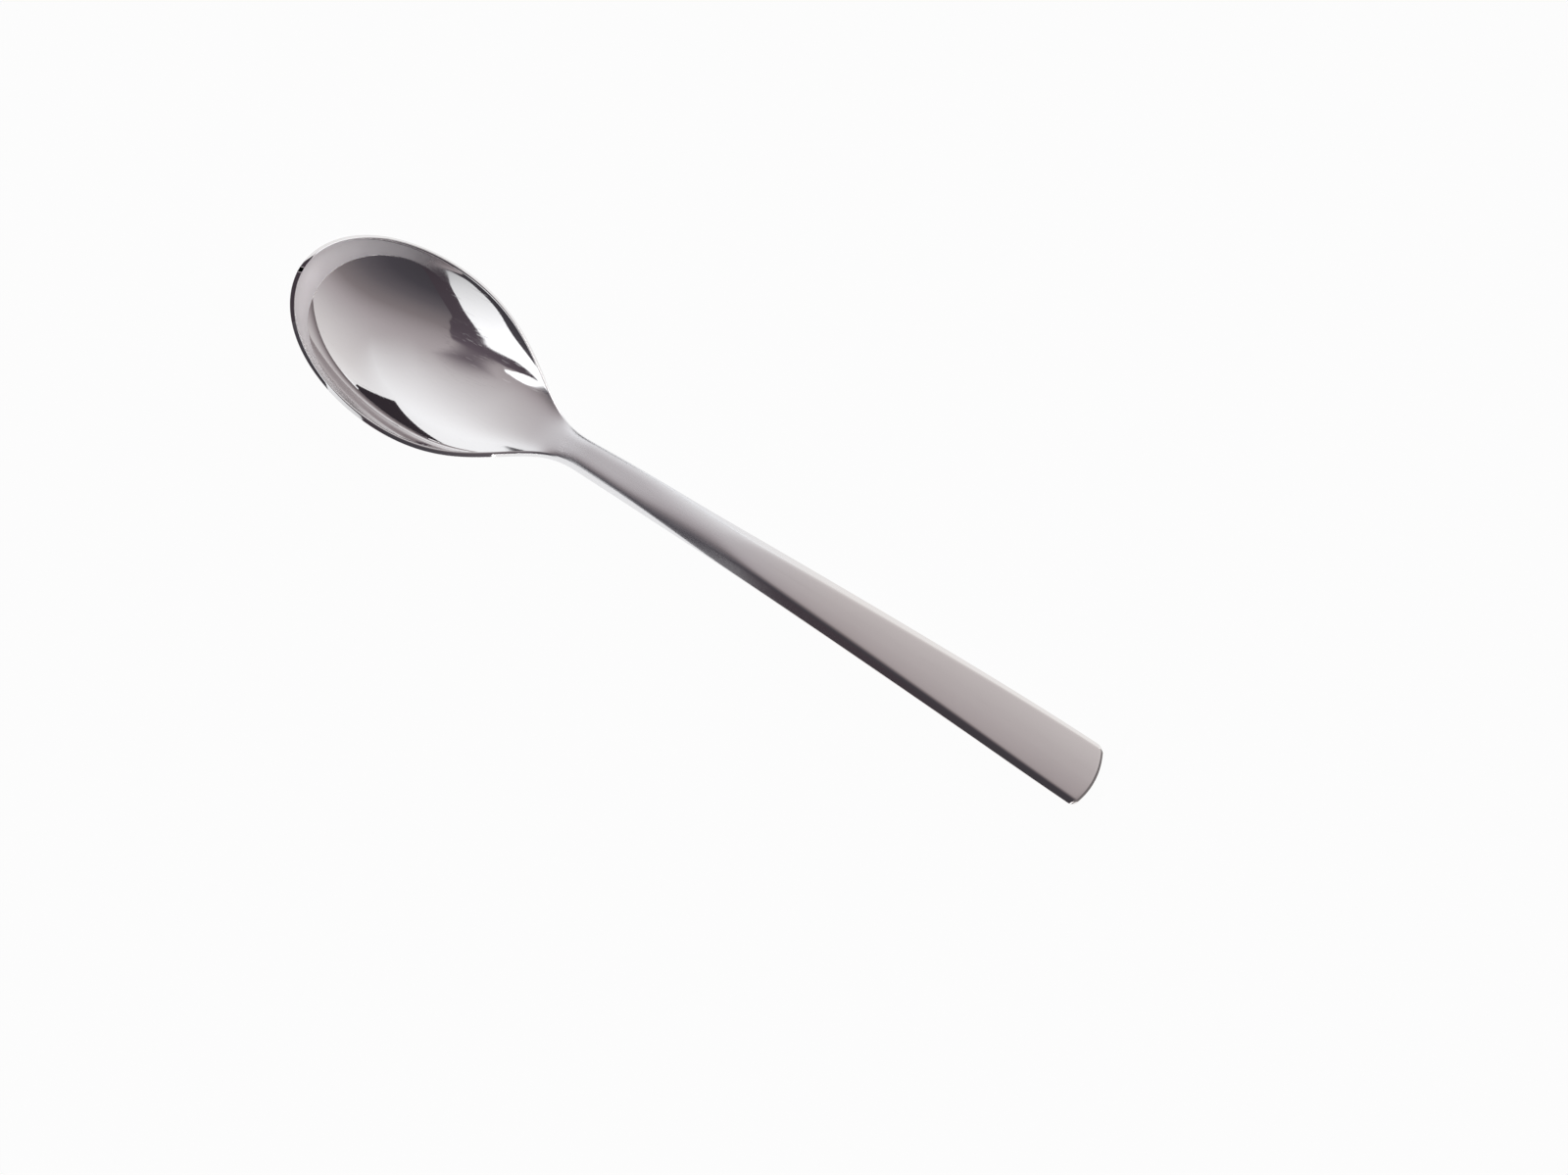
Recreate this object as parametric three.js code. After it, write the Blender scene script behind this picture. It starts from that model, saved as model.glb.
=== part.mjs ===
// Dessert spoon: a one-piece stainless steel blank in its three worked lengths, the pressed bowl,
// the thick neck and the flattened handle, which meet face to face.
// Millimetres, +Z up. The bowl's tip points to -X, the handle's end to +X, and the spoon lies on z = 0.

import * as THREE from 'three';
import { mergeVertices } from 'three/addons/utils/BufferGeometryUtils.js';

// Lengths along the spoon
const bowlLength = 67;
const neckLength = 18;
const handleLength = 100;
const heelLength = 20;

// Widths of the outline seen from above
const bowlWidth = 37.5;
const neckWidth = 6.3;
const endWidth = 13.8;

// The handle's sides run straight and turn almost parallel just before the end
const taperBulge = 0.12;
const taperBulgePower = 8;

// Shape of the bowl's outline: its lean to the tip, and how late and how softly the shoulders turn in
const tipLean = 0.84;
const shoulderPower = 6.4;
const shoulderEase = 3;
const tipPower = 4;

// Heights of the outer edge seen from the side, and the reach of the bend between bowl and handle
const tipHeight = 10.9;
const heelHeight = 5.2;
const neckHeight = 5.9;
const archPower = 2.4;
const bendBefore = 23;
const bendAfter = 13;

// Bowl shell: its floor, its cut rim seen from above and from the side, and the hollow's shape
const floorThickness = 1.7;
const rimFace = 0.75;
const rimRise = 0.85;
const hollowRunOut = 4;
const hollowTipPower = 0.85;
const hollowHeelPower = 2.2;
const wallFullness = 0.7;
const wallPower = 5;
const restFlatDepth = 0.5;

// Neck and handle section: round at the neck, flat with rounded edges at the end
const neckThickness = 4.2;
const endThickness = 2.4;
const neckSquareness = 2;
const endSquareness = 4.5;
const squarenessPower = 1.5;
const endBow = 1.5;
const endBowLength = 35;
const endRound = 1.3;
const endEdgeRound = 0.8;

// Fineness of the faceted surface
const sides = 32;
const edgeAngle = Math.PI / 8;
const bowlSteps = 48;
const bowlStepPower = 1.7;
const neckSteps = 8;
const handleSteps = 24;
const endSteps = 4;
const probes = 400;
const slopeProbe = 0.01;
const mergeDistance = 1e-4;

const spoonLength = bowlLength + neckLength + handleLength;
const neckEnd = bowlLength + neckLength;
const endStart = spoonLength - endRound;

function evenPlaces(start, end, steps) {
  return Array.from({ length: steps + 1 }, (_, i) => THREE.MathUtils.lerp(start, end, i / steps));
}

// Runs from 0 to 1 with no kink at either end
function smooth(share) {
  return THREE.MathUtils.smootherstep(share, 0, 1);
}

// Runs from 0 at the bowl's tip to 1 at the neck, quickly at first
function tipShare(x) {
  const toNeck = THREE.MathUtils.clamp(1 - x / bowlLength, 0, 1);
  return 1 - toNeck ** tipPower;
}

// The taper from the handle's end to the neck, run on to the bowl's tip
function stemHalfWidth(x) {
  const along = (x - bowlLength) / (spoonLength - bowlLength);
  const widening = along + taperBulge * (along - along ** taperBulgePower);
  const taper = THREE.MathUtils.lerp(neckWidth, endWidth, widening) / 2;
  return taper * Math.sqrt(tipShare(x));
}

function swellShape(x) {
  const u = THREE.MathUtils.clamp(x / bowlLength, 0, 1);
  return Math.sqrt(u) * (1 - tipLean * u) * (1 - u ** shoulderPower) ** shoulderEase;
}

// The swell just reaches the bowl's width at its widest place
const outlinePlaces = evenPlaces(0, bowlLength, probes).slice(1, -1);
const swellRoom = (x) => bowlWidth / 2 - stemHalfWidth(x);
const swellScale = Math.min(...outlinePlaces.map((x) => swellRoom(x) / swellShape(x)));

function halfWidth(x) {
  return stemHalfWidth(x) + swellScale * swellShape(x);
}

// Outward direction of the outline at x, on the +Y side, with x and y in the plan
function outlineNormal(x) {
  if (x === 0) {
    return new THREE.Vector2(-1, 0);
  }
  const probe = Math.min(slopeProbe, x / 2);
  const slope = (halfWidth(x + probe) - halfWidth(x - probe)) / (2 * probe);
  return new THREE.Vector2(-slope, 1).normalize();
}

function outlinePoint(x, inset) {
  return new THREE.Vector2(x, halfWidth(x)).addScaledVector(outlineNormal(x), -inset);
}

// Height of the outer edge: the rim's straight fall, bent into the handle's arch
function edgeHeight(x) {
  const rim = THREE.MathUtils.lerp(tipHeight, heelHeight, x / bowlLength);
  const alongArch = Math.max(0, (x - bowlLength) / (endStart - bowlLength));
  const arch = neckHeight - (neckHeight - endThickness / 2) * alongArch ** archPower;
  const bendStart = bowlLength - bendBefore;
  return THREE.MathUtils.lerp(rim, arch, smooth((x - bendStart) / (bendBefore + bendAfter)));
}

// The hollow's depth along the spoon: it falls fast from the tip and runs out slowly before the neck
const hollowEnd = bowlLength - hollowRunOut;

function hollowShape(x) {
  const u = THREE.MathUtils.clamp((x - rimFace) / (hollowEnd - rimFace), 0, 1);
  return u ** hollowTipPower * (1 - u) ** hollowHeelPower;
}

// The hollow is as deep as the floor's thickness allows before the back is ground flat
const floorPlaces = evenPlaces(rimFace, hollowEnd, probes).slice(1, -1);
const floorRoom = (x) => edgeHeight(x) + rimRise + restFlatDepth - floorThickness;
const hollowScale = Math.min(...floorPlaces.map((x) => floorRoom(x) / hollowShape(x)));

function depthAt(x) {
  return hollowScale * hollowShape(x);
}

// Rise from the middle of the bowl, at 0, to its wall's edge, at 1 or -1: a wide floor and steep sides
function wallRise(x, across) {
  const fullness = wallFullness * tipShare(x);
  return (1 - fullness) * across ** 2 + fullness * Math.abs(across) ** wallPower;
}

// A point of the bowl's shell: the hollow above, the cut rim at the sides, the back below
function bowlPoint(x, angle) {
  const across = Math.cos(angle) / Math.cos(edgeAngle);
  const up = Math.sin(angle);
  const edge = edgeHeight(x);
  const innerEdge = outlinePoint(x, rimFace);
  if (Math.abs(across) >= 1) {
    const turn = (Math.asin(up) / edgeAngle + 1) * Math.PI / 4;
    const rim = outlinePoint(x, rimFace * (1 - Math.cos(turn)));
    return new THREE.Vector3(rim.x, rim.y * Math.sign(across), edge + rimRise * Math.sin(turn));
  }
  const depth = depthAt(innerEdge.x);
  const rise = wallRise(x, across);
  if (up > 0) {
    const z = edge + rimRise - depth * (1 - rise);
    return new THREE.Vector3(innerEdge.x, innerEdge.y * across, z);
  }
  const thickness = THREE.MathUtils.lerp(rimRise, floorThickness, tipShare(x));
  const backDepth = depth + thickness - rimRise;
  const z = edge - backDepth * (1 - rise);
  return new THREE.Vector3(x, halfWidth(x) * across, z);
}

function signedPower(value, power) {
  return Math.sign(value) * Math.abs(value) ** power;
}

// A point of the neck and handle: a rounded section that grows flatter, with a bowed, rounded end
function handlePoint(x, angle) {
  const along = THREE.MathUtils.clamp((x - bowlLength) / (spoonLength - bowlLength), 0, 1);
  const squareness = THREE.MathUtils.lerp(neckSquareness, endSquareness, along ** squarenessPower);
  const pastRound = Math.max(0, (x - endStart) / endRound);
  const drop = 1 - Math.sqrt(Math.max(0, 1 - pastRound ** 2));
  const half = halfWidth(x) - endRound * drop;
  const thick = THREE.MathUtils.lerp(neckThickness, endThickness, along) / 2 - endEdgeRound * drop;
  const y = half * signedPower(Math.cos(angle), 2 / squareness);
  const z = edgeHeight(x) + thick * signedPower(Math.sin(angle), 2 / squareness);
  const bowShare = smooth((x - spoonLength + endBowLength) / endBowLength);
  const bow = endBow * bowShare * (2 * y / endWidth) ** 2;
  return new THREE.Vector3(x - bow, y, z);
}

// A point of the whole spoon's section at x: angle 0 is the +Y edge and a quarter turn is straight up.
// The underside is ground flat where it rests.
function sectionPoint(x, angle) {
  const heelShare = smooth((x - bowlLength + heelLength) / heelLength);
  const point = handlePoint(x, angle);
  if (heelShare < 1) {
    point.lerp(bowlPoint(x, angle), 1 - heelShare);
  }
  point.z = Math.max(0, point.z);
  return point;
}

// A closed body through the sections at the given places; the tip's section is a line and needs no cap
function bodyThrough(places, capsStart) {
  const positions = [];
  for (const x of places) {
    for (let k = 0; k < sides; k += 1) {
      positions.push(...sectionPoint(x, k * 2 * Math.PI / sides));
    }
  }
  const loose = new THREE.BufferGeometry();
  loose.setAttribute('position', new THREE.Float32BufferAttribute(positions, 3));
  loose.setIndex([...Array(places.length * sides).keys()]);
  const body = mergeVertices(loose, mergeDistance);
  const corners = [...body.index.array];
  const triangles = [];

  // A four-cornered face, without the triangles that have shrunk to a line
  function addFace(...spots) {
    const [a, b, c, d] = spots.map(([ring, k]) => corners[ring * sides + k % sides]);
    const whole = [[a, b, c], [a, c, d]].filter((triangle) => new Set(triangle).size === 3);
    triangles.push(...whole.flat());
  }

  const last = places.length - 1;
  for (let ring = 0; ring < last; ring += 1) {
    for (let k = 0; k < sides; k += 1) {
      addFace([ring, k], [ring, k + 1], [ring + 1, k + 1], [ring + 1, k]);
    }
  }
  for (let k = 0; k < sides / 2; k += 1) {
    const below = sides - k;
    addFace([last, k], [last, k + 1], [last, below - 1], [last, below]);
    if (capsStart) {
      addFace([0, k], [0, below], [0, below - 1], [0, k + 1]);
    }
  }
  body.setIndex(triangles);
  body.computeVertexNormals();
  return body;
}

const polishedSteel = new THREE.MeshStandardMaterial({ color: 0xd4d2d3, roughness: 0.06, metalness: 1 });
const satinSteel = new THREE.MeshStandardMaterial({ color: 0xc6c1c0, roughness: 0.24, metalness: 1 });

// Places crowd towards the tip, where the outline turns fastest
function makeBowl() {
  const places = evenPlaces(0, 1, bowlSteps).map((share) => bowlLength * share ** bowlStepPower);
  return new THREE.Mesh(bodyThrough(places, false), polishedSteel);
}

function makeNeck() {
  return new THREE.Mesh(bodyThrough(evenPlaces(bowlLength, neckEnd, neckSteps), true), satinSteel);
}

// The last places follow the quarter circle that rounds the end's edges
function makeHandle() {
  const turns = evenPlaces(0, Math.PI / 2, endSteps).slice(1);
  const endPlaces = turns.map((turn) => endStart + endRound * Math.sin(turn));
  const places = [...evenPlaces(neckEnd, endStart, handleSteps), ...endPlaces];
  return new THREE.Mesh(bodyThrough(places, true), satinSteel);
}

const spoon = new THREE.Group();
spoon.position.x = -spoonLength / 2;
const pieces = { bowl: makeBowl(), neck: makeNeck(), handle: makeHandle() };
for (const [name, piece] of Object.entries(pieces)) {
  piece.name = name;
  spoon.add(piece);
}

export default spoon;
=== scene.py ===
import math

import bpy
import numpy as np
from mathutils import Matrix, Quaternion, Vector


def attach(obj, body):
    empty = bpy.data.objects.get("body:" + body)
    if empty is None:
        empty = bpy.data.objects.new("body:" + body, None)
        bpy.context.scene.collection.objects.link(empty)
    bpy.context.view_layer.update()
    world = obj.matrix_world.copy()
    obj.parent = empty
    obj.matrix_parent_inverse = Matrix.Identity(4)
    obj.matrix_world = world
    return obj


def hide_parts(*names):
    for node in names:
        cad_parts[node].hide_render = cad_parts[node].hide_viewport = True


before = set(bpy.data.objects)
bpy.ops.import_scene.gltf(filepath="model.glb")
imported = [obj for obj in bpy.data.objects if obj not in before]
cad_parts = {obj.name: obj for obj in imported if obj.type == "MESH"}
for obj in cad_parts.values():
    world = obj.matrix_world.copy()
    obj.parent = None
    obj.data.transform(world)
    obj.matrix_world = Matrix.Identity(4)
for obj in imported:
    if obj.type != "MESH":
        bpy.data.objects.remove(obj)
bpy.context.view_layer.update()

# Dessert spoon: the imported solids' sections at a finer step, with a bevelled rim and a crowned handle,
# in mirror and satin polished steel. The shape is worked in millimetres with x from the bowl's tip.

MM = 0.001

# Lengths along the spoon
BOWL_LENGTH = 67.0
NECK_LENGTH = 18.0
HANDLE_LENGTH = 100.0
HEEL_LENGTH = 20.0
SPOON_LENGTH = BOWL_LENGTH + NECK_LENGTH + HANDLE_LENGTH
NECK_END = BOWL_LENGTH + NECK_LENGTH

# Widths of the outline, and how the handle's sides and the bowl's outline run
BOWL_WIDTH = 37.5
NECK_WIDTH = 6.3
END_WIDTH = 13.8
TAPER_BULGE = 0.12
TAPER_BULGE_POWER = 8
TIP_LEAN = 0.84
SHOULDER_POWER = 6.4
SHOULDER_EASE = 3
TIP_POWER = 4

# Heights of the outer edge, and the reach of the bend between bowl and handle
TIP_HEIGHT = 10.9
HEEL_HEIGHT = 5.2
NECK_HEIGHT = 5.9
ARCH_POWER = 2.4
BEND_BEFORE = 23.0
BEND_AFTER = 13.0

# Bowl shell: floor, cut rim and hollow
FLOOR_THICKNESS = 1.7
RIM_FACE = 0.75
RIM_RISE = 0.74
HOLLOW_RUN_OUT = 4.0
HOLLOW_TIP_POWER = 0.85
HOLLOW_HEEL_POWER = 2.2
WALL_FULLNESS = 0.7
WALL_POWER = 5
REST_FLAT_DEPTH = 0.5
RIM_BELLY = 0.05
HOLLOW_END = BOWL_LENGTH - HOLLOW_RUN_OUT

# Neck and handle sections
NECK_THICKNESS = 4.2
END_THICKNESS = 2.4
NECK_SQUARENESS = 4.0
END_SQUARENESS = 4.5
SQUARENESS_POWER = 1.5
END_BOW = 1.5
END_BOW_LENGTH = 35.0
END_ROUND = 1.3
END_EDGE_ROUND = 0.8
END_START = SPOON_LENGTH - END_ROUND

# The handle's top and bottom are gently crowned and bevelled to a thin edge
CROWN_DIP = 0.34
BEVEL_SLOPE = 1.0
BEVEL_SHARE = 0.98
UNDER_BEVEL_SHARE = 0.45
BEVEL_STARTS = 70.0
BEVEL_FULL = 104.0
SOFT_CREASE = 3.0
CREASE_STARTS = 92.0
CREASE_FULL = 112.0
CRISP_CREASE = 9.0

# The hollow's run-out over the heel, on top
TOP_HEEL_LENGTH = 12.0

# Angles in the section of the rim's edge and of its rounded inner corner
EDGE_ANGLE = math.pi / 8
CORNER_BEFORE = 0.28
CORNER_AFTER = 0.035
CORNER_START = EDGE_ANGLE - CORNER_BEFORE
CORNER_END = EDGE_ANGLE + CORNER_AFTER

# Fineness of the mesh
BACK_STEPS = 28
RIM_STEPS = 10
CORNER_STEPS = 8
HOLLOW_STEPS = 60
BOWL_STEPS = 170
BOWL_STEP_POWER = 1.7
NECK_STEPS = 34
HANDLE_STEPS = 130
END_STEPS = 10
PROBES = 401
SLOPE_PROBE = 0.01
WELD_DISTANCE = 1e-4
TINY = 1e-12

# The mesh's own mark for the points of the hollow, which the lip's finish reads
LIP_ZONE = "lip_zone"


def mix(start, end, share):
    return start + (end - start) * share


def smooth(share):
    """Runs from 0 to 1 with no kink at either end."""
    s = np.clip(share, 0, 1)
    return s * s * s * (s * (s * 6 - 15) + 10)


def tip_share(x):
    """Runs from 0 at the bowl's tip to 1 at the neck, quickly at first."""
    return 1 - np.clip(1 - x / BOWL_LENGTH, 0, 1) ** TIP_POWER


def stem_half_width(x):
    along = (x - BOWL_LENGTH) / (SPOON_LENGTH - BOWL_LENGTH)
    widening = along + TAPER_BULGE * (along - along ** TAPER_BULGE_POWER)
    return mix(NECK_WIDTH, END_WIDTH, widening) / 2 * np.sqrt(tip_share(x))


def swell_shape(x):
    u = np.clip(x / BOWL_LENGTH, 0, 1)
    return np.sqrt(u) * (1 - TIP_LEAN * u) * (1 - u ** SHOULDER_POWER) ** SHOULDER_EASE


def swell_scale():
    """The swell just reaches the bowl's width at its widest place."""
    x = np.linspace(0, BOWL_LENGTH, PROBES)[1:-1]
    return np.min((BOWL_WIDTH / 2 - stem_half_width(x)) / swell_shape(x))


SWELL_SCALE = swell_scale()


def half_width(x):
    return stem_half_width(x) + SWELL_SCALE * swell_shape(x)


def outline_point(x, inset):
    """A point of the outline in the plan, moved inwards along the outline's normal."""
    normal_x = -1.0
    normal_y = 0.0
    if x > 0:
        probe = min(SLOPE_PROBE, x / 2)
        slope = (half_width(x + probe) - half_width(x - probe)) / (2 * probe)
        normal_x = -slope / math.hypot(slope, 1)
        normal_y = 1 / math.hypot(slope, 1)
    return x - inset * normal_x, half_width(x) - inset * normal_y


def edge_height(x):
    """Height of the outer edge: the rim's straight fall, bent into the handle's arch."""
    rim = mix(TIP_HEIGHT, HEEL_HEIGHT, x / BOWL_LENGTH)
    along = np.maximum(0, (x - BOWL_LENGTH) / (END_START - BOWL_LENGTH))
    arch = NECK_HEIGHT - (NECK_HEIGHT - END_THICKNESS / 2) * along ** ARCH_POWER
    bend = (x - BOWL_LENGTH + BEND_BEFORE) / (BEND_BEFORE + BEND_AFTER)
    return mix(rim, arch, smooth(bend))


def hollow_shape(x):
    u = np.clip((x - RIM_FACE) / (HOLLOW_END - RIM_FACE), 0, 1)
    return u ** HOLLOW_TIP_POWER * (1 - u) ** HOLLOW_HEEL_POWER


def hollow_scale():
    """The hollow is as deep as the floor's thickness allows before the back is ground flat."""
    x = np.linspace(RIM_FACE, HOLLOW_END, PROBES)[1:-1]
    room = edge_height(x) + RIM_RISE + REST_FLAT_DEPTH - FLOOR_THICKNESS
    return np.min(room / hollow_shape(x))


HOLLOW_SCALE = hollow_scale()


def wall_rise(x, across):
    """Rise from the middle of the bowl to its wall's edge: a wide floor and steep sides."""
    fullness = WALL_FULLNESS * tip_share(x)
    return (1 - fullness) * across ** 2 + fullness * np.abs(across) ** WALL_POWER


def rim_points(x, angle):
    """The rim's bevelled edge, with a slight belly."""
    share = (angle / EDGE_ANGLE + 1) / 2
    rim_x, rim_y = outline_point(x, RIM_FACE * share)
    rise = RIM_RISE * (share + RIM_BELLY * share * (1 - share))
    return np.stack([rim_x, rim_y, edge_height(x) + rise], 1)


def hollow_points(x, angle):
    inner_x, inner_y = outline_point(x, RIM_FACE)
    across = np.cos(angle) / math.cos(EDGE_ANGLE)
    depth = HOLLOW_SCALE * hollow_shape(inner_x)
    z = edge_height(x) + RIM_RISE - depth * (1 - wall_rise(x, across))
    return np.stack([np.full_like(z, inner_x), inner_y * across, z], 1)


def back_points(x, angle):
    inner_x = outline_point(x, RIM_FACE)[0]
    across = np.cos(angle) / math.cos(EDGE_ANGLE)
    thickness = mix(RIM_RISE, FLOOR_THICKNESS, tip_share(x))
    depth = HOLLOW_SCALE * hollow_shape(inner_x) + thickness - RIM_RISE
    z = edge_height(x) - depth * (1 - wall_rise(x, across))
    return np.stack([np.full_like(z, x), half_width(x) * across, z], 1)


def corner_points(x, angle):
    """The rounded inner corner of the rim: a curve that leaves the rim and joins the hollow's wall."""
    start = rim_points(x, np.array([CORNER_START]))
    peak = rim_points(x, np.array([EDGE_ANGLE]))
    end = hollow_points(x, np.array([CORNER_END]))
    share = ((angle - CORNER_START) / (CORNER_END - CORNER_START))[:, None]
    return (1 - share) ** 2 * start + 2 * share * (1 - share) * peak + share ** 2 * end


def bowl_half_section(x, angles):
    """The bowl's section on the +Y side, from below upwards."""
    back, rim, corner, hollow = angles
    parts = [
        back_points(x, back),
        rim_points(x, rim),
        corner_points(x, corner),
        hollow_points(x, hollow),
    ]
    return np.concatenate(parts)


def signed_power(value, power):
    return np.sign(value) * np.abs(value) ** power


def bevelled(y, half, thick, crispness):
    """Height above the edge: a bevel that rises from the edge, and a gentle crown on top."""
    bevel = BEVEL_SLOPE * np.maximum(half - np.abs(y), WELD_DISTANCE)
    crown = thick - CROWN_DIP * (y / half) ** 2
    return (bevel ** -crispness + crown ** -crispness) ** (-1 / crispness)


def handle_half_section(x, angle):
    """The neck's and handle's section on the +Y side: rounded at the neck and bevelled further out."""
    along = np.clip((x - BOWL_LENGTH) / (SPOON_LENGTH - BOWL_LENGTH), 0, 1)
    power = 2 / mix(NECK_SQUARENESS, END_SQUARENESS, along ** SQUARENESS_POWER)
    past_round = max(0.0, (x - END_START) / END_ROUND)
    drop = 1 - math.sqrt(max(0.0, 1 - past_round ** 2))
    half = half_width(x) - END_ROUND * drop
    thick = mix(NECK_THICKNESS, END_THICKNESS, along) / 2 - END_EDGE_ROUND * drop
    y = half * signed_power(np.cos(angle), power)
    rounded = thick * signed_power(np.sin(angle), power)
    outwards = smooth((x - BEVEL_STARTS) / (BEVEL_FULL - BEVEL_STARTS))
    sharper = smooth((x - CREASE_STARTS) / (CREASE_FULL - CREASE_STARTS))
    crispness = mix(SOFT_CREASE, CRISP_CREASE, sharper)
    bevel = bevelled(y, half, thick, crispness) * np.sign(np.sin(angle))
    share = np.where(angle > 0, BEVEL_SHARE, UNDER_BEVEL_SHARE) * outwards
    z = edge_height(x) + mix(rounded, bevel, share)
    bow = END_BOW * smooth((x - SPOON_LENGTH + END_BOW_LENGTH) / END_BOW_LENGTH)
    return np.stack([x - bow * (2 * y / END_WIDTH) ** 2, y, z], 1)


def half_angles():
    """Angles of the section's +Y half, for the back, the rim, the rim's inner corner and the hollow."""
    back = np.linspace(-math.pi / 2, -EDGE_ANGLE, BACK_STEPS + 1)[:-1]
    rim = np.linspace(-EDGE_ANGLE, CORNER_START, RIM_STEPS + 1)[:-1]
    corner = np.linspace(CORNER_START, CORNER_END, CORNER_STEPS + 1)[:-1]
    hollow = np.linspace(CORNER_END, math.pi / 2, HOLLOW_STEPS + 1)
    return back, rim, corner, hollow


def section_ring(x, angles):
    """The whole closed section at x: the +Y half and its mirror image, flat where the spoon rests."""
    half = handle_half_section(x, np.concatenate(angles))
    if x < BOWL_LENGTH:
        below = smooth((x - BOWL_LENGTH + HEEL_LENGTH) / HEEL_LENGTH)
        above = smooth((x - BOWL_LENGTH + TOP_HEEL_LENGTH) / TOP_HEEL_LENGTH)
        turn = np.concatenate(angles)
        share = mix(below, above, smooth((turn + EDGE_ANGLE) / (CORNER_END + EDGE_ANGLE)))
        half = mix(bowl_half_section(x, angles), half, share[:, None])
    half[:, 2] = np.maximum(0, half[:, 2])
    mirrored = half[::-1][1:-1] * np.array([1, -1, 1])
    return np.concatenate([half, mirrored])


def ring_places():
    """Places of the rings of bowl, neck and handle; they crowd towards the tip."""
    bowl = BOWL_LENGTH * np.linspace(0, 1, BOWL_STEPS + 1) ** BOWL_STEP_POWER
    neck = np.linspace(BOWL_LENGTH, NECK_END, NECK_STEPS + 1)
    handle = np.linspace(NECK_END, END_START, HANDLE_STEPS + 1)
    turns = np.linspace(0, math.pi / 2, END_STEPS + 1)
    end = END_START + END_ROUND * np.sin(turns)
    return np.concatenate([bowl[:-1], neck[:-1], handle[:-1], end])


def side_faces(first, last, count):
    """Four-cornered faces between the rings from first to last."""
    ring = np.arange(first, last)[:, None] * count
    k = np.arange(count)[None]
    following = (k + 1) % count
    corners = [ring + k, ring + following, ring + count + following, ring + count + k]
    return np.stack(corners, -1).reshape(-1, 4)


def cap_faces(ring, count, faces_out):
    """Strips across one ring, from its +Y half to its mirror image."""
    k = np.arange(count // 2)
    start = ring * count
    other = start + (count - k) % count
    beyond = start + (count - k - 1) % count
    corners = [start + k, start + k + 1, beyond, other]
    if not faces_out:
        corners = corners[::-1]
    return np.stack(corners, -1)


def end_faces(ring, count, y):
    """Triangles over the bowed end, between the section's lower and upper line, from +Y to -Y."""
    edge = int(np.argmax(y[:count // 2 + 1]))
    lower = [(edge - k) % count for k in range(2 * edge + 1)]
    upper = list(range(edge, count - edge + 1))
    faces = []
    low = 0
    high = 0
    while low < len(lower) - 1 or high < len(upper) - 1:
        next_low = y[lower[low + 1]] if low < len(lower) - 1 else -math.inf
        next_high = y[upper[high + 1]] if high < len(upper) - 1 else -math.inf
        if next_low > next_high:
            faces.append((lower[low], upper[high], lower[low + 1]))
            low += 1
        else:
            faces.append((lower[low], upper[high], upper[high + 1]))
            high += 1
    return np.array(faces) + ring * count


def weld(points):
    """The first point at each place, its number, and for every point the number of its place."""
    keys = np.round(points / WELD_DISTANCE).astype(np.int64)
    _, first, index = np.unique(keys, axis=0, return_index=True, return_inverse=True)
    return points[first], first, index.reshape(-1)


def whole_faces(faces):
    """The faces with doubled corners taken out, and without those that have shrunk to a line."""
    kept = []
    for face in faces.tolist():
        corners = [v for i, v in enumerate(face) if v != face[i - 1]]
        if len(set(corners)) >= 3:
            kept.append(corners)
    return kept


def vertex_normals(points, faces):
    """Smooth normals of the whole spoon, so that the pieces' seams don't show."""
    triangles = []
    for face in faces:
        for i in range(1, len(face) - 1):
            triangles.append((face[0], face[i], face[i + 1]))
    corners = np.array(triangles)
    a, b, c = (points[corners[:, i]] for i in range(3))
    weighted = np.cross(b - a, c - a)
    normals = np.zeros_like(points)
    for i in range(3):
        np.add.at(normals, corners[:, i], weighted)
    return normals / np.maximum(np.linalg.norm(normals, axis=1, keepdims=True), TINY)


def flat_normal(points, face):
    a, b, c = (points[v] for v in face[:3])
    normal = np.cross(b - a, c - a)
    return normal / max(np.linalg.norm(normal), TINY)


def lip_zone(angles, rings):
    """1 for the points of the hollow, 0 for the rim and the back."""
    half = np.concatenate(angles) > CORNER_END
    ring = np.concatenate([half, half[::-1][1:-1]])
    return np.tile(ring.astype(float), rings)


def make_piece(name, points, normals, lip, sides, caps):
    """One closed mesh: smooth sides that take the whole spoon's normals, and flat caps at its seams."""
    faces = sides + caps
    used = sorted(set(v for face in faces for v in face))
    place = {v: i for i, v in enumerate(used)}
    shifted = (points[used] - np.array([SPOON_LENGTH / 2, 0, 0])) * MM
    mesh = bpy.data.meshes.new(name)
    mesh.from_pydata(shifted.tolist(), [], [[place[v] for v in face] for face in faces])
    mesh.polygons.foreach_set("use_smooth", [True] * len(faces))
    loops = [normals[v] for face in sides for v in face]
    for face in caps:
        loops.extend([flat_normal(points, face)] * len(face))
    mesh.normals_split_custom_set([tuple(n) for n in loops])
    mesh.attributes.new(LIP_ZONE, "FLOAT", "POINT").data.foreach_set("value", lip[used])
    piece = bpy.data.objects.new(name, mesh)
    bpy.context.scene.collection.objects.link(piece)
    return piece


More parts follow.
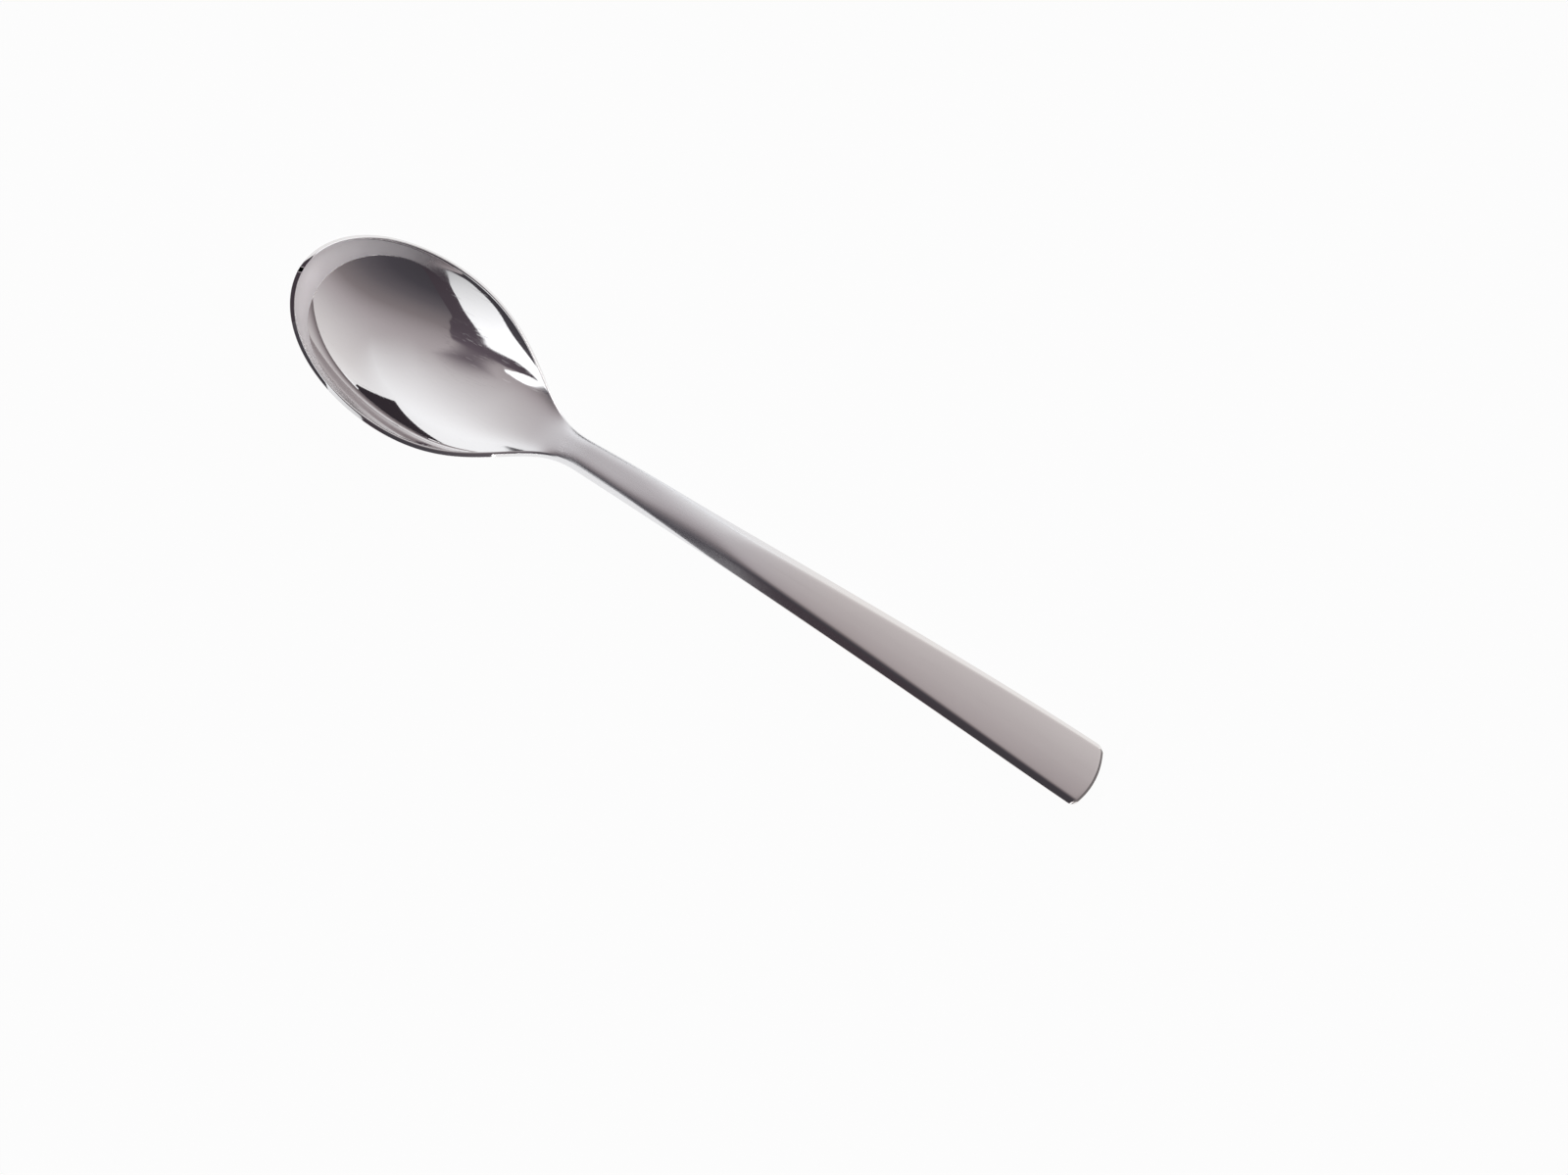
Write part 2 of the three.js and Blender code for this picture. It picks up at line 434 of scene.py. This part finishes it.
def make_spoon():
    angles = half_angles()
    places = ring_places()
    rings = np.stack([section_ring(x, angles) for x in places])
    count = rings.shape[1]
    last = len(places) - 1
    points, first_of, index = weld(rings.reshape(-1, 3))
    lip = lip_zone(angles, len(places))[first_of]
    all_sides = index[side_faces(0, last, count)]
    end_cap = whole_faces(index[end_faces(last, count, rings[last, :, 1])])
    normals = vertex_normals(points, whole_faces(all_sides) + end_cap)
    neck_ring = BOWL_STEPS
    handle_ring = BOWL_STEPS + NECK_STEPS
    spans = {
        "bowl": (0, neck_ring),
        "neck": (neck_ring, handle_ring),
        "handle": (handle_ring, last),
    }
    pieces = {}
    for name, (first, final) in spans.items():
        sides = whole_faces(index[side_faces(first, final, count)])
        caps = []
        if first > 0:
            caps = whole_faces(index[cap_faces(first, count, False)])
        if final < last:
            caps = caps + whole_faces(index[cap_faces(final, count, True)])
        else:
            sides = sides + end_cap
        pieces[name] = make_piece("spoon_" + name, points, normals, lip, sides, caps)
    return pieces


# Steel: colours, and roughness along the spoon's length, x in metres from its middle
POLISHED_COLOUR = (0.83, 0.815, 0.817, 1)
SATIN_COLOUR = (0.80, 0.797, 0.815, 1)
HANDLE_COLOUR = (0.80, 0.768, 0.755, 1)
# The lip's paler colour is a painted sheen: it brightens the lip's reflection band round the bowl's tip
LIP_PAINTED_SHEEN_COLOUR = (0.96, 0.945, 0.955, 1)
POLISHED_ROUGHNESS = 0.035
SATIN_ROUGHNESS = 0.27
HANDLE_ROUGHNESS = 0.10
POLISH_ENDS = -0.047
SATIN_STARTS = -0.027
SATIN_FADES_FROM = -0.005
SATIN_FADES_TO = 0.030
TINT_FROM = -0.010
TINT_TO = 0.040

# The bowl's lip is brushed round the tip: it lies outside an oval in the plan, in metres, and runs out
# along the sides
LIP_MIDDLE = -0.070
LIP_HALF_LENGTH = 0.0172
LIP_HALF_WIDTH = 0.0156
LIP_EDGE = 0.012
LIP_ROUGHNESS = 0.50
LIP_FADES_FROM = -0.080
LIP_FADES_TO = -0.063

# Numbers of the sockets of a mix node that blends colours
MIX_SHARE = 0
MIX_FIRST = 6
MIX_SECOND = 7
MIX_RESULT = 2


class Nodes:
    """Short calls for building the nodes of one material or of the surroundings."""

    def __init__(self, material):
        material.use_nodes = True
        self.tree = material.node_tree
        self.tree.nodes.clear()

    def add(self, kind, **settings):
        node = self.tree.nodes.new(kind)
        for key, value in settings.items():
            setattr(node, key, value)
        return node

    def link(self, output, socket):
        self.tree.links.new(output, socket)

    def fill(self, socket, value):
        """Links an output to a socket, or sets the socket's own value."""
        if isinstance(value, bpy.types.NodeSocket):
            self.link(value, socket)
        else:
            socket.default_value = value

    def math(self, operation, first, second=0.0, third=0.0):
        node = self.add("ShaderNodeMath", operation=operation)
        for socket, value in zip(node.inputs, (first, second, third)):
            self.fill(socket, value)
        return node.outputs[0]

    def span(self, value, start, end, low, high):
        """Runs smoothly from low to high as value goes from start to end."""
        node = self.add("ShaderNodeMapRange", interpolation_type="SMOOTHERSTEP")
        names = ("Value", "From Min", "From Max", "To Min", "To Max")
        for name, part in zip(names, (value, start, end, low, high)):
            self.fill(node.inputs[name], part)
        return node.outputs["Result"]

    def blend_colour(self, share, first, second):
        node = self.add("ShaderNodeMix", data_type="RGBA")
        self.fill(node.inputs[MIX_SHARE], share)
        self.fill(node.inputs[MIX_FIRST], first)
        self.fill(node.inputs[MIX_SECOND], second)
        return node.outputs[MIX_RESULT]

    def stretched(self, place, turn, scale):
        """Coordinates turned about the vertical and stretched, in metres."""
        node = self.add("ShaderNodeMapping")
        self.link(place, node.inputs["Vector"])
        node.inputs["Rotation"].default_value = (0, 0, turn)
        node.inputs["Scale"].default_value = scale
        return node.outputs["Vector"]

    def noise(self, place, scale, detail=2.0, roughness=0.5):
        node = self.add("ShaderNodeTexNoise")
        self.link(place, node.inputs["Vector"])
        node.inputs["Scale"].default_value = scale
        node.inputs["Detail"].default_value = detail
        node.inputs["Roughness"].default_value = roughness
        return node.outputs["Fac"]

    def bump(self, height, distance, strength, below=None):
        node = self.add("ShaderNodeBump")
        self.link(height, node.inputs["Height"])
        node.inputs["Distance"].default_value = distance
        self.fill(node.inputs["Strength"], strength)
        if below is not None:
            self.link(below, node.inputs["Normal"])
        return node.outputs["Normal"]


# Surface detail: scales are cycles per metre, depths are metres, turns are radians
CLOUD_SCALE = 45.0
CLOUD_DETAIL = 4.0
CLOUD_GRAIN = 0.6
CLOUD_MIDDLE = 0.5
CLOUD_TINT = 0.12
WAVE_SCALE = 90.0
WAVE_DETAIL = 1.0
WAVE_DEPTH = 0.0000045
BRUSH_SCALE = (60.0, 9000.0, 9000.0)
BRUSH_DEPTH = 0.0000012
BRUSH_IN_BOWL = 0.2
BRUSH_ADDED = 0.8
SCRATCH_SCALE = (70.0, 5200.0, 1200.0)
SCRATCH_DETAIL = 1.0
SCRATCH_TURNS = (0.5, -0.9, 1.9)
SCRATCH_FROM = 0.70
SCRATCH_TO = 0.76
SCRATCH_DEPTH = 0.0000008
SCRATCH_TINT = 0.05
SCRATCH_ROUGHNESS = 0.05
DULL_COLOUR = (0.45, 0.42, 0.40, 1)

# Clouds and brush lines change the roughness from this share of it upwards
LEAST_ROUGHNESS = 0.75
ROUGHNESS_SPREAD = 0.5


def scratch_marks(nodes, place):
    """Sparse hairlines in three directions, as use leaves them."""
    total = 0.0
    for turn in SCRATCH_TURNS:
        lines = nodes.noise(nodes.stretched(place, turn, SCRATCH_SCALE), 1.0, SCRATCH_DETAIL)
        thin = nodes.span(lines, SCRATCH_FROM, SCRATCH_TO, 0.0, 1.0)
        total = nodes.math("ADD", thin, total)
    return total


def lip_share(nodes, place, along):
    """1 on the brushed lip inside the bowl's rim, 0 elsewhere; the lip's colour is also painted paler
    there, a painted sheen.
    """
    oval = nodes.add("ShaderNodeMapping")
    nodes.link(place, oval.inputs["Vector"])
    oval.inputs["Location"].default_value = (-LIP_MIDDLE / LIP_HALF_LENGTH, 0, 0)
    oval.inputs["Scale"].default_value = (1 / LIP_HALF_LENGTH, 1 / LIP_HALF_WIDTH, 0)
    reach = nodes.add("ShaderNodeVectorMath", operation="LENGTH")
    nodes.link(oval.outputs[0], reach.inputs[0])
    outside = nodes.span(reach.outputs["Value"], 1 - LIP_EDGE, 1 + LIP_EDGE, 0.0, 1.0)
    inside = nodes.add("ShaderNodeAttribute", attribute_name=LIP_ZONE).outputs["Fac"]
    tapered = nodes.span(along, LIP_FADES_FROM, LIP_FADES_TO, 1.0, 0.0)
    return nodes.math("MULTIPLY", nodes.math("MULTIPLY", outside, inside), tapered)


def steel_colour(nodes, along, satin, lip, clouds, scratches):
    """Polished and satin steel and a lip painted paler as a sheen that brightens its reflection, slightly
    duller in clouds and scratches.
    """
    warm = nodes.span(along, TINT_FROM, TINT_TO, 0.0, 1.0)
    outer = nodes.blend_colour(warm, SATIN_COLOUR, HANDLE_COLOUR)
    base = nodes.blend_colour(satin, POLISHED_COLOUR, outer)
    # Painted sheen: the lip gets a paler colour so that its reflection looks brighter
    base = nodes.blend_colour(lip, base, LIP_PAINTED_SHEEN_COLOUR)
    dull = nodes.math("MULTIPLY", nodes.math("SUBTRACT", clouds, CLOUD_MIDDLE), CLOUD_TINT)
    tint = nodes.math("ADD", dull, nodes.math("MULTIPLY", scratches, SCRATCH_TINT))
    return nodes.blend_colour(tint, base, DULL_COLOUR)


def steel_roughness(nodes, along, lip, clouds, brush, scratches):
    """Mirror polish in the bowl, satin on the neck, and smoother again along the handle."""
    outer = nodes.span(along, SATIN_FADES_FROM, SATIN_FADES_TO, SATIN_ROUGHNESS, HANDLE_ROUGHNESS)
    finish = nodes.span(along, POLISH_ENDS, SATIN_STARTS, POLISHED_ROUGHNESS, outer)
    finish = nodes.math("MULTIPLY_ADD", lip, LIP_ROUGHNESS, finish)
    spread = nodes.math("MULTIPLY_ADD", clouds, ROUGHNESS_SPREAD, LEAST_ROUGHNESS)
    streaks = nodes.math("MULTIPLY_ADD", brush, ROUGHNESS_SPREAD, LEAST_ROUGHNESS)
    rough = nodes.math("MULTIPLY", nodes.math("MULTIPLY", finish, spread), streaks)
    return nodes.math("MULTIPLY_ADD", scratches, SCRATCH_ROUGHNESS, rough)


def steel_normal(nodes, place, satin, brush, scratches):
    """Faint waves, brush lines and scratches, as bumps one on the other."""
    waves = nodes.bump(nodes.noise(place, WAVE_SCALE, WAVE_DETAIL), WAVE_DEPTH, 1.0)
    strength = nodes.math("MULTIPLY_ADD", satin, BRUSH_ADDED, BRUSH_IN_BOWL)
    brushed = nodes.bump(brush, BRUSH_DEPTH, strength, waves)
    return nodes.bump(scratches, SCRATCH_DEPTH, 1.0, brushed)


def steel_material(name):
    """Stainless steel that goes from mirror polish in the bowl to satin on the neck and handle."""
    material = bpy.data.materials.new(name)
    nodes = Nodes(material)
    place = nodes.add("ShaderNodeTexCoord").outputs["Object"]
    split = nodes.add("ShaderNodeSeparateXYZ")
    nodes.link(place, split.inputs[0])
    along = split.outputs["X"]
    satin = nodes.span(along, POLISH_ENDS, SATIN_STARTS, 0.0, 1.0)
    lip = lip_share(nodes, place, along)
    clouds = nodes.noise(place, CLOUD_SCALE, CLOUD_DETAIL, CLOUD_GRAIN)
    brush = nodes.noise(nodes.stretched(place, 0.0, BRUSH_SCALE), 1.0)
    scratches = scratch_marks(nodes, place)
    shader = nodes.add("ShaderNodeBsdfPrincipled")
    shader.inputs["Metallic"].default_value = 1.0
    colour = steel_colour(nodes, along, satin, lip, clouds, scratches)
    nodes.link(colour, shader.inputs["Base Color"])
    rough = steel_roughness(nodes, along, lip, clouds, brush, scratches)
    nodes.link(rough, shader.inputs["Roughness"])
    normal = steel_normal(nodes, place, satin, brush, scratches)
    nodes.link(normal, shader.inputs["Normal"])
    output = nodes.add("ShaderNodeOutputMaterial")
    nodes.link(shader.outputs[0], output.inputs["Surface"])
    return material


# Studio: a direction is an angle round the bowl from +X towards +Y and a height above the floor, in degrees
BOWL_MIDDLE = Vector((-0.058, 0.0, 0.006))
FAR_SIDE = 85.0
FLOOR_HALF = 6.0
FLOOR_DROP = 0.0002
FLOOR_COLOUR = (0.86, 0.86, 0.86, 1)
FLOOR_GLOW = 0.96
SURROUNDINGS = (
    (0.00, (0.052, 0.048, 0.056, 1)),
    (0.15, (0.070, 0.064, 0.075, 1)),
    (0.30, (0.128, 0.114, 0.126, 1)),
    (0.47, (0.236, 0.206, 0.213, 1)),
    (0.60, (0.440, 0.400, 0.412, 1)),
    (0.75, (0.612, 0.580, 0.588, 1)),
    (0.90, (0.768, 0.744, 0.744, 1)),
    (1.00, (0.960, 0.952, 0.952, 1)),
)


def direction(turn, height):
    a = math.radians(turn)
    e = math.radians(height)
    return Vector((math.cos(e) * math.cos(a), math.cos(e) * math.sin(a), math.sin(e)))


def make_surroundings():
    """A soft gradient all round: dark on the near side, bright on the far side."""
    world = bpy.data.worlds.new("surroundings")
    bpy.context.scene.world = world
    nodes = Nodes(world)
    place = nodes.add("ShaderNodeTexCoord").outputs["Generated"]
    towards = nodes.add("ShaderNodeVectorMath", operation="DOT_PRODUCT")
    nodes.link(place, towards.inputs[0])
    towards.inputs[1].default_value = direction(FAR_SIDE, 0.0)
    # From -1 to 1 into 0 to 1
    share = nodes.math("MULTIPLY_ADD", towards.outputs["Value"], 0.5, 0.5)
    ramp = nodes.add("ShaderNodeValToRGB")
    stops = ramp.color_ramp.elements
    for position, _ in SURROUNDINGS[1:-1]:
        stops.new(position)
    for stop, (_, colour) in zip(stops, SURROUNDINGS):
        stop.color = colour
    nodes.link(share, ramp.inputs[0])
    background = nodes.add("ShaderNodeBackground")
    nodes.link(ramp.outputs[0], background.inputs["Color"])
    output = nodes.add("ShaderNodeOutputWorld")
    nodes.link(background.outputs[0], output.inputs["Surface"])


def floor_material():
    """A pale floor that looks white, keeps a faint shadow of the spoon and is clear from below."""
    material = bpy.data.materials.new("floor")
    nodes = Nodes(material)
    path = nodes.add("ShaderNodeLightPath")
    seen = nodes.math("MAXIMUM", path.outputs["Is Camera Ray"], path.outputs["Is Glossy Ray"])
    seen = nodes.math("MAXIMUM", seen, path.outputs["Is Transmission Ray"])
    pale = nodes.add("ShaderNodeBsdfDiffuse")
    pale.inputs["Color"].default_value = FLOOR_COLOUR
    glow = nodes.add("ShaderNodeEmission")
    glow.inputs["Strength"].default_value = 1.0
    lit = nodes.add("ShaderNodeMixShader")
    nodes.link(nodes.math("MULTIPLY", seen, FLOOR_GLOW), lit.inputs[0])
    nodes.link(pale.outputs[0], lit.inputs[1])
    nodes.link(glow.outputs[0], lit.inputs[2])
    clear = nodes.add("ShaderNodeBsdfTransparent")
    sides = nodes.add("ShaderNodeMixShader")
    nodes.link(nodes.add("ShaderNodeNewGeometry").outputs["Backfacing"], sides.inputs[0])
    nodes.link(lit.outputs[0], sides.inputs[1])
    nodes.link(clear.outputs[0], sides.inputs[2])
    output = nodes.add("ShaderNodeOutputMaterial")
    nodes.link(sides.outputs[0], output.inputs["Surface"])
    return material


def make_sheet(name, corners, material, faces=None):
    """A studio sheet through its corners; it isn't part of the spoon."""
    mesh = bpy.data.meshes.new(name)
    mesh.from_pydata([tuple(c) for c in corners], [], faces or [list(range(len(corners)))])
    mesh.materials.append(material)
    sheet = bpy.data.objects.new(name, mesh)
    bpy.context.scene.collection.objects.link(sheet)
    return sheet


def make_floor():
    corners = []
    for x, y in ((-1, -1), (1, -1), (1, 1), (-1, 1)):
        corners.append(Vector((x * FLOOR_HALF, y * FLOOR_HALF, -FLOOR_DROP)))
    make_sheet("floor", corners, floor_material())


def glowing(name, colour, strengths, fades, one_sided=False):
    """A ribbon's glow, from its first strength to its last. It can fade out towards its end and its top."""
    material = bpy.data.materials.new(name)
    nodes = Nodes(material)
    split = nodes.add("ShaderNodeSeparateXYZ")
    nodes.link(nodes.add("ShaderNodeTexCoord").outputs["UV"], split.inputs[0])
    along = split.outputs["X"]
    up = split.outputs["Y"]
    glow = nodes.add("ShaderNodeEmission")
    glow.inputs["Color"].default_value = colour
    strength = nodes.math("MULTIPLY_ADD", along, strengths[1] - strengths[0], strengths[0])
    nodes.link(strength, glow.inputs["Strength"])
    end = nodes.span(along, 1 - fades[0], 1.0, 0.0, 1.0)
    top = nodes.span(up, 1 - fades[1], 1.0, 0.0, 1.0)
    clear = nodes.add("ShaderNodeBsdfTransparent")
    soft = nodes.add("ShaderNodeMixShader")
    faded = nodes.math("MAXIMUM", end, top)
    if one_sided:
        back = nodes.add("ShaderNodeNewGeometry").outputs["Backfacing"]
        faded = nodes.math("MAXIMUM", faded, back)
    nodes.link(faded, soft.inputs[0])
    nodes.link(glow.outputs[0], soft.inputs[1])
    nodes.link(clear.outputs[0], soft.inputs[2])
    output = nodes.add("ShaderNodeOutputMaterial")
    nodes.link(soft.outputs[0], output.inputs["Surface"])
    return material


# Ribbons of light and dark round the bowl, each between two lines of directions, and their distances
CURVE_STEPS = 6
WALL_REACH = 1.2
NEAR_FLAG_REACH = 1.5
HEEL_FLAG_REACH = 1.1
FAR_FLAG_REACH = 0.5
NEAR_WALL = (
    ((-79, 2), (-77, 2.6)),
    ((-86, 5), (-80.4, 11.9)),
    ((-93, 11.5), (-84.1, 23.1)),
    ((-101, 19), (-92.2, 38.8)),
    ((-108, 27), (-103.8, 53.6)),
    ((-114, 35), (-125.9, 65.8)),
    ((-120, 41.5), (-152.1, 71.4)),
    ((-126, 46), (-169, 73.0)),
    ((-134, 51), (-177, 73.2)),
    ((-148, 58), (-182, 73.0)),
    ((-165, 65), (-187, 72.2)),
)
FAR_WALL = (
    ((138, 3), (138, 70)),
    ((128, 3), (128, 75)),
    ((118, 3), (118, 79)),
    ((108, 2), (108, 80)),
    ((98, 2), (98, 80)),
    ((84, 2), (84, 78)),
    ((70, 2), (70, 74)),
    ((56, 2), (56, 70)),
)
RIGHT_STRIP = (
    ((64, 0.2), (64, 3.2)),
    ((40, 0.2), (40, 3.2)),
    ((5, 0.2), (5, 3.2)),
    ((-30, 0.2), (-30, 2.4)),
    ((-65, 0.2), (-65, 1.8)),
)
NEAR_FLAG = (
    ((-76.7, 2.7), (-65.7, 3.1)),
    ((-80.4, 11.9), (-71.7, 17.5)),
    ((-84.1, 23.1), (-79.6, 36.7)),
    ((-92.2, 38.8), (-91.9, 55.3)),
    ((-103.8, 53.6), (-116, 69.7)),
    ((-125.9, 65.8), (-138, 76.0)),
    ((-152.1, 71.4), (-160, 77.4)),
    ((-169, 72.6), (-176, 77.5)),
    ((-180, 72.8), (-184, 77.2)),
    ((-190, 72.8), (-192, 76.2)),
    ((-200, 71.2), (-200, 75.0)),
    ((-208, 69.5), (-208, 72.9)),
)
HEEL_FLAG = (
    ((-200, 71.2), (-200, 75.4)),
    ((-208, 69.4), (-208, 73.6)),
    ((-216, 67.0), (-216, 71.8)),
    ((-224, 64.0), (-224, 70.4)),
    ((-232, 62.0), (-232, 69.6)),
)
FAR_FLAG = (
    ((99.5, 4), (78, 4)),
    ((99, 19), (78.5, 12)),
    ((98.5, 40), (79, 18)),
)
LEFT_FLAG = (
    ((142, 0.5), (142, 30)),
    ((165, 0.5), (165, 35)),
    ((190, 0.5), (190, 35)),
    ((212, 0.5), (212, 30)),
)

# Their glow: strengths at the first and the last pair, and the shares that fade at the end and the top
BOX_COLOUR = (0.97, 0.985, 1.0, 1)
STRIP_COLOUR = (1.0, 0.985, 0.985, 1)
FLAG_COLOUR = (0.060, 0.048, 0.058, 1)
NEAR_WALL_STRENGTHS = (0.55, 1.9)
FAR_WALL_STRENGTHS = (1.3, 0.92)
STRIP_STRENGTHS = (6.0, 6.0)
NEAR_FLAG_STRENGTHS = (0.9, 2.0)
HEEL_FLAG_STRENGTHS = (2.0, 2.0)
FAR_FLAG_STRENGTHS = (0.6, 0.6)
LEFT_FLAG_STRENGTHS = (1.0, 1.0)
SHARP = (0.0, 0.0)
FAR_WALL_FADES = (0.6, 0.615)
STRIP_FADES = (0.2, 0.0)
NEAR_FLAG_FADES = (0.1, 0.0)
HEEL_FLAG_FADES = (0.5, 0.7)

# A white card beyond the handle's far side: its distance, its ends along x and its heights, in metres
FAR_CARD_Y = 0.45
FAR_CARD_X = (0.02, 0.105)
FAR_CARD_Z = (0.008, 0.13)
FAR_CARD_STRENGTHS = (1.1, 1.1)
FAR_CARD_FADES = (0.3, 0.25)

# A small upright card over the bowl, for the light spot that the heel mirrors: pairs of places across
# and up, in metres
HEEL_CARD_X = -0.060
HEEL_CARD = (
    ((0.0139, 0.050), (0.0155, 0.055)),
    ((0.0127, 0.060), (0.0185, 0.078)),
    ((0.0090, 0.068), (0.0195, 0.100)),
    ((0.0036, 0.073), (0.0160, 0.116)),
    ((-0.0030, 0.075), (0.0060, 0.117)),
    ((-0.0090, 0.072), (-0.0040, 0.104)),
    ((-0.0150, 0.064), (-0.0130, 0.087)),
    ((-0.0180, 0.058), (-0.0190, 0.068)),
)
HEEL_CARD_STRENGTHS = (1.5, 1.5)

# A small dim card beyond the handle's end that draws its edge as a dark line: across and up, in metres
END_CARD_X = 0.0955
END_CARD_Y = (-0.012, 0.016)
END_CARD_Z = (0.0, 0.0045)
END_CARD_COLOUR = (0.20, 0.185, 0.19, 1)
END_CARD_STRENGTHS = (1.0, 1.0)


def curved(directions, reach):
    """Places on a smooth line through directions as seen from the bowl."""
    knots = [direction(turn, height) for turn, height in directions]
    before = [knots[0] * 2 - knots[1]] + knots[:-1]
    after = knots[1:] + [knots[-1] * 2 - knots[-2]]
    places = []
    for i in range(len(knots) - 1):
        leave = (after[i] - before[i]) / 2
        arrive = (after[i + 1] - before[i + 1]) / 2
        for step in range(CURVE_STEPS):
            t = step / CURVE_STEPS
            place = knots[i] * (2 * t ** 3 - 3 * t ** 2 + 1) + leave * (t ** 3 - 2 * t ** 2 + t)
            place = place + knots[i + 1] * (3 * t ** 2 - 2 * t ** 3) + arrive * (t ** 3 - t ** 2)
            places.append(place.normalized())
    places.append(knots[-1])
    return [BOWL_MIDDLE + place * reach for place in places]


def make_ribbon(name, lower, upper, material):
    """A studio ribbon between two lines, seen by the steel but never in front of the camera."""
    corners = [corner for pair in zip(lower, upper) for corner in pair]
    faces = [[i, i + 1, i + 3, i + 2] for i in range(0, len(corners) - 2, 2)]
    ribbon = make_sheet(name, corners, material, faces)
    ribbon.visible_camera = False
    layer = ribbon.data.uv_layers.new(name="ribbon")
    last = len(lower) - 1
    for loop in ribbon.data.loops:
        spot = loop.vertex_index
        layer.data[loop.index].uv = (spot // 2 / last, spot % 2)


def round_ribbon(name, pairs, reach, colour, strengths, fades):
    lower = curved([pair[0] for pair in pairs], reach)
    upper = curved([pair[1] for pair in pairs], reach)
    make_ribbon(name, lower, upper, glowing(name, colour, strengths, fades))


def make_far_card():
    lower = [Vector((x, FAR_CARD_Y, FAR_CARD_Z[0])) for x in FAR_CARD_X]
    upper = [Vector((x, FAR_CARD_Y, FAR_CARD_Z[1])) for x in FAR_CARD_X]
    light = glowing("far_card", BOX_COLOUR, FAR_CARD_STRENGTHS, FAR_CARD_FADES)
    make_ribbon("far_card", lower, upper, light)


def make_heel_card():
    lower = [Vector((HEEL_CARD_X, *pair[0])) for pair in HEEL_CARD]
    upper = [Vector((HEEL_CARD_X, *pair[1])) for pair in HEEL_CARD]
    light = glowing("heel_card", BOX_COLOUR, HEEL_CARD_STRENGTHS, SHARP, one_sided=True)
    make_ribbon("heel_card", lower, upper, light)


def make_end_card():
    lower = [Vector((END_CARD_X, y, END_CARD_Z[0])) for y in END_CARD_Y]
    upper = [Vector((END_CARD_X, y, END_CARD_Z[1])) for y in END_CARD_Y]
    dim = glowing("end_card", END_CARD_COLOUR, END_CARD_STRENGTHS, SHARP, one_sided=True)
    make_ribbon("end_card", lower, upper, dim)


def make_lights():
    round_ribbon("near_wall", NEAR_WALL, WALL_REACH, BOX_COLOUR, NEAR_WALL_STRENGTHS, SHARP)
    round_ribbon("far_wall", FAR_WALL, WALL_REACH, BOX_COLOUR, FAR_WALL_STRENGTHS, FAR_WALL_FADES)
    round_ribbon("right_strip", RIGHT_STRIP, WALL_REACH, STRIP_COLOUR, STRIP_STRENGTHS, STRIP_FADES)


def make_flags():
    """Dark ribbons, for the dark shapes that the bowl mirrors."""
    round_ribbon("near_flag", NEAR_FLAG, NEAR_FLAG_REACH, FLAG_COLOUR, NEAR_FLAG_STRENGTHS, NEAR_FLAG_FADES)
    round_ribbon("heel_flag", HEEL_FLAG, HEEL_FLAG_REACH, FLAG_COLOUR, HEEL_FLAG_STRENGTHS, HEEL_FLAG_FADES)
    round_ribbon("far_flag", FAR_FLAG, FAR_FLAG_REACH, FLAG_COLOUR, FAR_FLAG_STRENGTHS, SHARP)
    round_ribbon("left_flag", LEFT_FLAG, WALL_REACH, FLAG_COLOUR, LEFT_FLAG_STRENGTHS, SHARP)


def make_studio():
    make_surroundings()
    make_floor()
    make_lights()
    make_flags()
    make_far_card()
    make_heel_card()
    make_end_card()


# Camera: the photograph's viewing angle
TARGET = Vector((0.01978, -0.00115, 0.005))
CAMERA_TURN = -113.147
CAMERA_HEIGHT = 67.226
CAMERA_ROLL = 53.124
CAMERA_DISTANCE = 1.50254
LENS = 178.98
SENSOR = 36.0


def make_camera():
    data = bpy.data.cameras.new("camera")
    data.sensor_fit = "HORIZONTAL"
    data.sensor_width = SENSOR
    data.lens = LENS
    camera = bpy.data.objects.new("camera", data)
    bpy.context.scene.collection.objects.link(camera)
    back = direction(CAMERA_TURN, CAMERA_HEIGHT)
    camera.location = TARGET + back * CAMERA_DISTANCE
    camera.rotation_mode = "QUATERNION"
    roll = Quaternion((0, 0, 1), math.radians(CAMERA_ROLL))
    camera.rotation_quaternion = back.to_track_quat("Z", "Y") @ roll
    bpy.context.scene.camera = camera


def dress(pieces):
    slots = {"bowl": "polished_steel", "neck": "satin_steel", "handle": "satin_steel"}
    finishes = {slot: steel_material(slot + "_finish") for slot in ("polished_steel", "satin_steel")}
    for name, piece in pieces.items():
        piece.data.materials.append(finishes[slots[name]])
        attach(piece, "root")
        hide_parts(name)


bpy.context.scene.view_settings.view_transform = "Standard"
make_camera()
make_studio()
dress(make_spoon())
